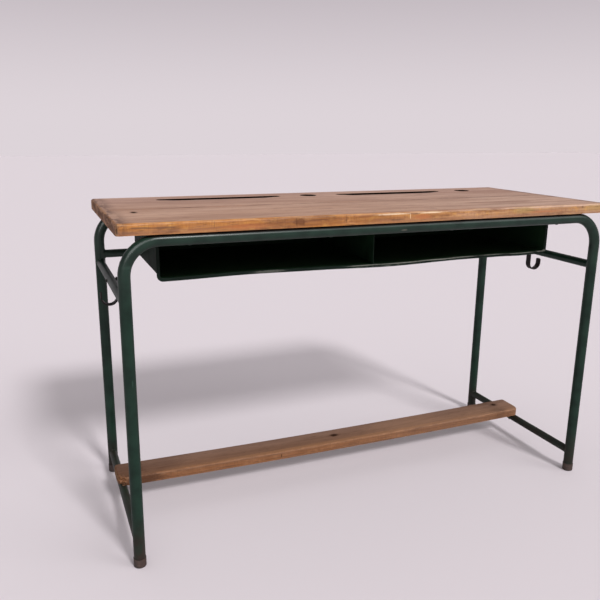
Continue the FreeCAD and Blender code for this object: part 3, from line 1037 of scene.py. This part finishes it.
def cutRows(piece, axis, low, high, pitch):
    # straight cuts that give a long flat face points to move
    count = round((high - low) / pitch)
    pick(piece)
    bpy.ops.object.mode_set(mode="EDIT")
    for i in range(1, count):
        bpy.ops.mesh.select_all(action="SELECT")
        bpy.ops.mesh.bisect(plane_co=axis * (low + (high - low) * i / count), plane_no=axis)
    bpy.ops.mesh.select_all(action="SELECT")
    bpy.ops.mesh.remove_doubles(threshold=meshDetail["sliver"])
    bpy.ops.object.mode_set(mode="OBJECT")


def selectWhere(piece, chosen):
    pick(piece)
    bpy.ops.object.mode_set(mode="EDIT")
    bpy.ops.mesh.select_all(action="DESELECT")
    bpy.ops.object.mode_set(mode="OBJECT")
    for vertex in piece.data.vertices:
        vertex.select = chosen(vertex.co)
    bpy.ops.object.mode_set(mode="EDIT")


def push(piece, name, weightAt, strength, direction="NORMAL", texture=None):
    # weights painted by place carry a Displace; a texture only ever pushes inwards
    group = piece.vertex_groups.new(name=name)
    for vertex in piece.data.vertices:
        weight = weightAt(vertex.co)
        if weight > meshDetail["leastWeight"]:
            group.add([vertex.index], min(weight, 1.0), "REPLACE")
    modifier = piece.modifiers.new(name, "DISPLACE")
    modifier.vertex_group = name
    modifier.direction = direction
    modifier.strength = strength
    modifier.mid_level = 1.0 if texture else 0.0
    modifier.texture = texture
    pick(piece)
    bpy.ops.object.modifier_apply(modifier=name)
    piece.vertex_groups.remove(piece.vertex_groups[name])


def fade(value, full, none):
    # 1 at full, 0 at none, smooth between
    share = min(max((value - none) / (full - none), 0), 1)
    return share * share * (3 - 2 * share)


def cloudTexture(name, size, depth, contrast, intensity):
    texture = bpy.data.textures.new(name, "CLOUDS")
    texture.noise_scale = size
    texture.noise_depth = depth
    texture.contrast = contrast
    texture.intensity = intensity
    return texture


def finishPiece(piece, nodeName, material, smoothAngle):
    pick(piece)
    bpy.ops.object.shade_smooth_by_angle(angle=math.radians(smoothAngle))
    wear(piece, material)
    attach(piece, "root")
    if nodeName:
        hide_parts(nodeName)


# Boards with soft hollows, rubbed arrises and nicks

boardShape = {
    "cutPitch": 6 * mm,
    "rowPitch": 16 * mm,
    "layerPitch": 6 * mm,
    "waveDepth": 0.4 * mm,
    "waveFull": 50 * mm,      # this far from a straight rear edge the wave is full
    "waveEnd": 10 * mm,       # and here it ends
    "nickReach": 6 * mm,
    "nickDepth": 1.1 * mm,
    "footrestNickDepth": 1.8 * mm,
    "footrestSag": 5 * mm,
    "sagMiddle": 1 * mm,      # half the width of the middle that sags most
    "cornerReach": 40 * mm,
    "cornerDepth": 5 * mm,
    "cornerCuts": 3,
    "tornDepth": 11 * mm,     # how far in the longest torn fibres of that corner end
    "tornFrom": 2 * mm,
    "tornRun": 34 * mm,
    "tornLength": 0.55,       # their mean length as a share of that, and how much it varies
    "tornVaries": 0.45,
    "fibrePitch": 10 * mm,
    "fibreWander": 2.0,
    # how far the near sides of the pen grooves are worn down
    "grooveWear": {"pen_groove_left": 1.1 * mm, "pen_groove_right": 1.8 * mm},
    "grooveWearSkin": 3 * mm,
    "grooveWearFlat": 5 * mm,
    "grooveWearRun": 34 * mm,
    "grooveWearEnd": 40 * mm,
    "grooveWearPast": 10 * mm,
    "smoothAngle": 40,
}
waveTexture = cloudTexture("boardWave", size=140 * mm, depth=1, contrast=1.0, intensity=0.9)
nickTexture = cloudTexture("boardNicks", size=32 * mm, depth=2, contrast=2.0, intensity=1.05)
cornerTexture = cloudTexture("brokenCorner", size=9 * mm, depth=3, contrast=2.0, intensity=0.9)


def arrisDistance(point, low, high, frontEdge):
    # how far a point is from the nearest upper or upright outer edge of a board
    ends = min(point.x - low.x, high.x - point.x)
    faces = high.z - point.z
    nearest = math.hypot(ends, faces)
    if frontEdge:
        depth = point.y - low.y
        nearest = min(nearest, math.hypot(depth, faces), math.hypot(depth, ends))
    return nearest


def wornBoard(nodeName, pieceName, nickDepth, frontEdge=True, straightRear=False):
    shape = boardShape
    low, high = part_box(nodeName)
    piece = copyOfNode(nodeName, pieceName)
    cutRows(piece, axisX, low.x, high.x, shape["cutPitch"])
    cutRows(piece, axisY, low.y, high.y, shape["rowPitch"])
    cutRows(piece, axisZ, low.z, high.z, shape["layerPitch"])

    def waveWeight(point):
        upwards = (point.z - low.z) / (high.z - low.z)
        if not straightRear:
            return upwards
        return upwards * fade(high.y - point.y, shape["waveFull"], shape["waveEnd"])

    def nickWeight(point):
        return 1 - arrisDistance(point, low, high, frontEdge) / shape["nickReach"]

    push(piece, "wave", waveWeight, shape["waveDepth"], "Z", waveTexture)
    push(piece, "nicks", nickWeight, nickDepth, "NORMAL", nickTexture)
    return piece


def grooveWeight(low, high, top):
    # full along the near side of a groove, fading at both its ends and towards the pupils
    shape = boardShape

    def weightAt(point):
        if point.z < top - shape["grooveWearSkin"] or point.y > low.y:
            return 0.0
        inside = min(point.x - low.x, high.x - point.x)
        sideways = fade(inside, shape["grooveWearEnd"], -shape["grooveWearPast"])
        return sideways * fade(point.y, low.y - shape["grooveWearFlat"], low.y - shape["grooveWearRun"])
    return weightAt


def wearGrooves(piece):
    # hands that reach for pens have worn down the near side of both grooves
    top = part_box("top_rear_board")[1].z
    boxes = {opening["name"]: opening["box_m"] for opening in frame["record"]["physics"]["openings"]}
    for name, depth in boardShape["grooveWear"].items():
        low, high = (Vector(corner) for corner in boxes[name])
        push(piece, "grooveWear", grooveWeight(low, high, top), -depth, "Z")


def middle(nodeName):
    low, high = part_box(nodeName)
    return (low + high) / 2


def sagFootrest(piece):
    # years of feet bent the board down between its rails
    shape = boardShape
    selectWhere(piece, lambda point: abs(point.x) < shape["sagMiddle"])
    bpy.ops.transform.translate(
        value=(0, 0, -shape["footrestSag"]), use_proportional_edit=True,
        proportional_edit_falloff="INVERSE_SQUARE", proportional_size=middle("lower_side_rail_right").x)
    bpy.ops.object.mode_set(mode="OBJECT")


def breakCorner(piece):
    # the left front corner of the footrest has splintered off
    shape = boardShape
    low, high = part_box("footrest_board")
    corner = Vector((low.x, low.y, high.z))
    selectWhere(piece, lambda point: (point - corner).length < shape["cornerReach"])
    bpy.ops.mesh.subdivide(number_cuts=shape["cornerCuts"])
    bpy.ops.object.mode_set(mode="OBJECT")
    wave = 2 * math.pi / shape["fibrePitch"]

    def tornWeight(point):
        # fibres side by side end at different lengths
        inwards = fade(point.x - low.x, 0, shape["tornRun"])
        backwards = fade(point.y - low.y, shape["tornFrom"], shape["tornRun"])
        swing = math.sin(wave * point.y + shape["fibreWander"] * math.sin(wave * point.z))
        return inwards * backwards * (shape["tornLength"] + shape["tornVaries"] * swing)

    def cornerWeight(point):
        return 1 - (point - corner).length / shape["cornerReach"]

    push(piece, "torn", tornWeight, shape["tornDepth"], "X")
    push(piece, "corner", cornerWeight, shape["cornerDepth"], "NORMAL", cornerTexture)


def makeBoards():
    shape = boardShape
    topFront = wornBoard("top_front_board", "wornTopFront", shape["nickDepth"])
    finishPiece(topFront, "top_front_board", frontBoardWood, shape["smoothAngle"])
    topRear = wornBoard(
        "top_rear_board", "wornTopRear", shape["nickDepth"], frontEdge=False, straightRear=True)
    wearGrooves(topRear)
    finishPiece(topRear, "top_rear_board", rearBoardWood, shape["smoothAngle"])
    footrest = wornBoard("footrest_board", "wornFootrest", shape["footrestNickDepth"], straightRear=True)
    sagFootrest(footrest)
    breakCorner(footrest)
    finishPiece(footrest, "footrest_board", footrestWood, shape["smoothAngle"])


makeBoards()
print("boards worn")


# Tray with a drooping mouth

trayShape = {
    "cutPitch": 20 * mm,
    "rowPitch": 24 * mm,
    # middle and half width of each stretch of the mouth that books have bent, and how far up
    "bends": [
        (45 * mm, 210 * mm, -4 * mm),
        (-310 * mm, 170 * mm, 2.2 * mm),
        (430 * mm, 65 * mm, -1.5 * mm),
    ],
    "bendBack": 60 * mm,      # the floor is straight behind here
    "lipHeight": 12 * mm,
    "smoothAngle": 35,
}


def bendWeight(low, high, centre, halfWidth):
    # full at the bend's middle, none at its ends, at the back and at the top
    def weightAt(point):
        sideways = fade(abs(point.x - centre), 0, halfWidth)
        back = fade(point.y, low.y, trayShape["bendBack"])
        return sideways * back * fade(point.z, low.z + trayShape["lipHeight"], high.z)
    return weightAt


def makeTray():
    shape = trayShape
    low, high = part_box("tray_shell")
    shell = copyOfNode("tray_shell", "droopedTray")
    cutRows(shell, axisX, low.x, high.x, shape["cutPitch"])
    cutRows(shell, axisY, low.y, high.y, shape["rowPitch"])
    divider = copyOfNode("tray_divider", "droopedDivider")
    cutRows(divider, axisY, low.y, high.y, shape["rowPitch"])
    cutRows(divider, axisZ, low.z, high.z, shape["rowPitch"])
    for piece, nodeName, material in (
        (shell, "tray_shell", trayPaint),
        (divider, "tray_divider", trayInsidePaint),
    ):
        for centre, halfWidth, lift in shape["bends"]:
            push(piece, "bend", bendWeight(low, high, centre, halfWidth), lift, "Z")
        finishPiece(piece, nodeName, material, shape["smoothAngle"])


makeTray()
print("tray drooped")


# Weld beads where the rails meet the legs

weldShape = {
    "ringRadius": 10.2 * mm,
    "beadRadius": 1.8 * mm,
    "beadSides": 10,
    "legRadius": 12.5 * mm,
    "ripples": 26,
    "rippleHeight": 0.3 * mm,
    "lumpHeight": 0.7 * mm,
    "smoothAngle": 60,
}
weldTexture = cloudTexture("weldLumps", size=5 * mm, depth=1, contrast=1.0, intensity=1.0)


def makeWeldBead():
    # a ring round a rail that leaves its leg along +Y, laid on the leg's round face
    shape = weldShape
    bpy.ops.object.select_all(action="DESELECT")
    bpy.ops.mesh.primitive_torus_add(
        rotation=(math.pi / 2, 0, 0), major_radius=shape["ringRadius"], minor_radius=shape["beadRadius"],
        major_segments=2 * shape["ripples"], minor_segments=shape["beadSides"])
    bead = bpy.context.object
    bpy.ops.object.transform_apply(rotation=True)
    step = math.pi / shape["ripples"]
    selectWhere(bead, lambda point: round(math.atan2(point.z, point.x) / step) % 2 == 0)
    bpy.ops.transform.shrink_fatten(value=shape["rippleHeight"])
    bpy.ops.object.mode_set(mode="OBJECT")
    leg = shape["legRadius"]
    push(bead, "saddle", lambda point: math.sqrt(max(1 - (point.x / leg) ** 2, 0)), leg, "Y")
    push(bead, "lumps", lambda point: 1.0, shape["lumpHeight"], "NORMAL", weldTexture)
    return bead


def copyBead(bead, name, place, turn):
    piece = bpy.data.objects.new(name, bead.data.copy())
    scene.collection.objects.link(piece)
    piece.matrix_world = Matrix.Translation(place) @ Matrix.Rotation(turn, 4, "Z")
    pick(piece)
    bpy.ops.object.transform_apply(location=True, rotation=True)
    finishPiece(piece, None, framePaint, weldShape["smoothAngle"])


def weldRails():
    bead = makeWeldBead()
    for side in ("left", "right"):
        for level in ("upper", "lower"):
            height = middle(level + "_side_rail_" + side).z
            for row, turn in (("front", 0.0), ("rear", math.pi)):
                leg = middle("foot_cap_" + row + "_" + side)
                copyBead(bead, "_".join(("weld", level, side, row)), Vector((leg.x, leg.y, height)), turn)
        leg = middle("foot_cap_rear_" + side)
        turn = -math.pi / 2 if side == "left" else math.pi / 2
        copyBead(bead, "weld_cross_" + side, Vector((leg.x, leg.y, middle("rear_cross_rail").z)), turn)
    bpy.data.objects.remove(bead)


weldRails()
print("welds laid")


# Hooks and foot caps with softened edges

softShape = {
    "hookBevel": 0.7 * mm,
    "capBevel": 0.4 * mm,
    "bevelSteps": 3,
    "sharpFrom": 50,          # degrees between two faces from which their edge is softened
    "smoothAngle": 40,
}


def softenedCopy(nodeName, pieceName, bevel):
    piece = copyOfNode(nodeName, pieceName)
    modifier = piece.modifiers.new("softEdges", "BEVEL")
    modifier.width = bevel
    modifier.segments = softShape["bevelSteps"]
    modifier.limit_method = "ANGLE"
    modifier.angle_limit = math.radians(softShape["sharpFrom"])
    pick(piece)
    bpy.ops.object.modifier_apply(modifier="softEdges")
    return piece


for side in ("left", "right"):
    hookName = "bag_hook_" + side
    hook = softenedCopy(hookName, "forgedHook_" + side, softShape["hookBevel"])
    finishPiece(hook, hookName, hookIron, softShape["smoothAngle"])
    for row in ("front", "rear"):
        capName = "_".join(("foot_cap", row, side))
        cap = softenedCopy(capName, "_".join(("scuffedCap", row, side)), softShape["capBevel"])
        finishPiece(cap, capName, footRubber, softShape["smoothAngle"])
print("hooks and foot caps softened")


# Low painted heads of the screws that hold the top

screwShape = {
    "headKept": 0.4,          # share of a head's height that paint and wear have left showing
    "smoothAngle": 40,
}


def makeTopScrews():
    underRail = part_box("front_frame")[1].z - 2 * weldShape["legRadius"]
    screws = copyOfNode("top_screws", "paintedTopScrews")
    selectWhere(screws, lambda point: point.z < underRail)
    bpy.ops.transform.resize(
        value=(1, 1, screwShape["headKept"]), center_override=(0, 0, underRail))
    bpy.ops.object.mode_set(mode="OBJECT")
    finishPiece(screws, "top_screws", framePaint, screwShape["smoothAngle"])


makeTopScrews()
print("top screws painted over")


# The desk's own pieces that stay as they are

keptPieces = (
    (framePaint, ("front_frame", "rear_frame", "rear_cross_rail")),
    (framePaint, ("upper_side_rail_left", "upper_side_rail_right")),
    (framePaint, ("lower_side_rail_left", "lower_side_rail_right")),
    (trayInsidePaint, ("tray_back_panel",)),
    (hookIron, ("hook_rivets",)),
    (fastenerSteel, ("tray_screws", "footrest_screws")),
)
for material, nodeNames in keptPieces:
    for nodeName in nodeNames:
        wear(nodes[nodeName], material)
print("finishes given to the desk's own pieces")


# Floor, light and camera

stageLook = {
    "floorColour": colour(217, 208, 213),
    "floorRoughness": 0.8,
    "floorShine": 0.1,
    "floorSize": 40.0,
    "worldLight": colour(255, 253, 254),
    "worldStrength": 0.54,
    "worldSeen": colour(221, 212, 217),
    "worldAbove": colour(172, 163, 170),
    "worldClimb": (0.0, 0.32),
    # where each lamp stands, degrees across, which sets how soft its shadows are, and strength
    "lamps": {
        "keyLight": (Vector((0.25, -1.12, 1.0)), 10.0, 2.05),
        "fillLight": (Vector((0.66, -0.56, 0.5)), 30.0, 0.7),
    },
    # a far lamp that only shows as a highlight on the left bends of the frame
    "sheenLamp": (Vector((-0.5, -0.75, 0.55)), 40.0, 2.2),
}


def makeFloor():
    bpy.ops.object.select_all(action="DESELECT")
    bpy.ops.mesh.primitive_plane_add(size=stageLook["floorSize"])
    floor = bpy.context.object
    floor.name = "floor"
    material, tree, shader = newMaterial("floorPaint")[:3]
    feed(tree, shader, {
        "Base Color": stageLook["floorColour"],
        "Roughness": stageLook["floorRoughness"],
        "Specular IOR Level": stageLook["floorShine"],
    })
    floor.data.materials.append(material)


def standLamp(name, stand, across, strength):
    lamp = bpy.data.lights.new(name, "SUN")
    lamp.angle = math.radians(across)
    lamp.energy = strength
    stood = bpy.data.objects.new(name, lamp)
    stood.rotation_euler = (-stand).to_track_quat("-Z", "Y").to_euler()
    scene.collection.objects.link(stood)
    return stood


def makeLight():
    for name, lamp in stageLook["lamps"].items():
        standLamp(name, *lamp)
    standLamp("sheenLamp", *stageLook["sheenLamp"]).visible_diffuse = False
    world = bpy.data.worlds.new("softSky")
    world.use_nodes = True
    scene.world = world
    tree = world.node_tree
    tree.nodes.clear()
    skyInputs = {"Color": stageLook["worldLight"], "Strength": stageLook["worldStrength"]}
    sky = addNode(tree, "ShaderNodeBackground", skyInputs)
    height = parts(tree, addNode(tree, "ShaderNodeTexCoord").outputs["Generated"])[2]
    climb = rise(tree, height, *stageLook["worldClimb"])
    backdrop = mixColour(tree, climb, stageLook["worldSeen"], stageLook["worldAbove"])
    seen = addNode(tree, "ShaderNodeBackground", {"Color": backdrop, "Strength": 1.0})
    rays = addNode(tree, "ShaderNodeLightPath").outputs
    showing = larger(tree, rays["Is Camera Ray"], rays["Is Glossy Ray"])
    showing = larger(tree, showing, rays["Is Transmission Ray"])
    choice = addNode(tree, "ShaderNodeMixShader")
    setInput(tree, choice.inputs[0], showing)
    tree.links.new(sky.outputs[0], choice.inputs[1])
    tree.links.new(seen.outputs[0], choice.inputs[2])
    output = addNode(tree, "ShaderNodeOutputWorld")
    tree.links.new(choice.outputs[0], output.inputs["Surface"])


cameraLook = {
    "place": Vector((-0.749537, -1.520795, 0.919556)),
    "turn": 22.1129,          # degrees from straight ahead towards +X
    "dip": 14.4701,           # degrees below the horizon
    "roll": 0.5556,
    "lens": 40.456,           # mm
    "sensor": 36.0,
}


def makeCamera():
    lens = bpy.data.cameras.new("photoCamera")
    lens.lens = cameraLook["lens"]
    lens.sensor_width = cameraLook["sensor"]
    camera = bpy.data.objects.new("photoCamera", lens)
    turn = Matrix.Rotation(-math.radians(cameraLook["turn"]), 4, "Z")
    tilt = Matrix.Rotation(math.radians(90 - cameraLook["dip"]), 4, "X")
    roll = Matrix.Rotation(math.radians(cameraLook["roll"]), 4, "Z")
    camera.matrix_world = Matrix.Translation(cameraLook["place"]) @ turn @ tilt @ roll
    scene.collection.objects.link(camera)
    scene.camera = camera


makeFloor()
makeLight()
makeCamera()
print("floor, light and camera placed")
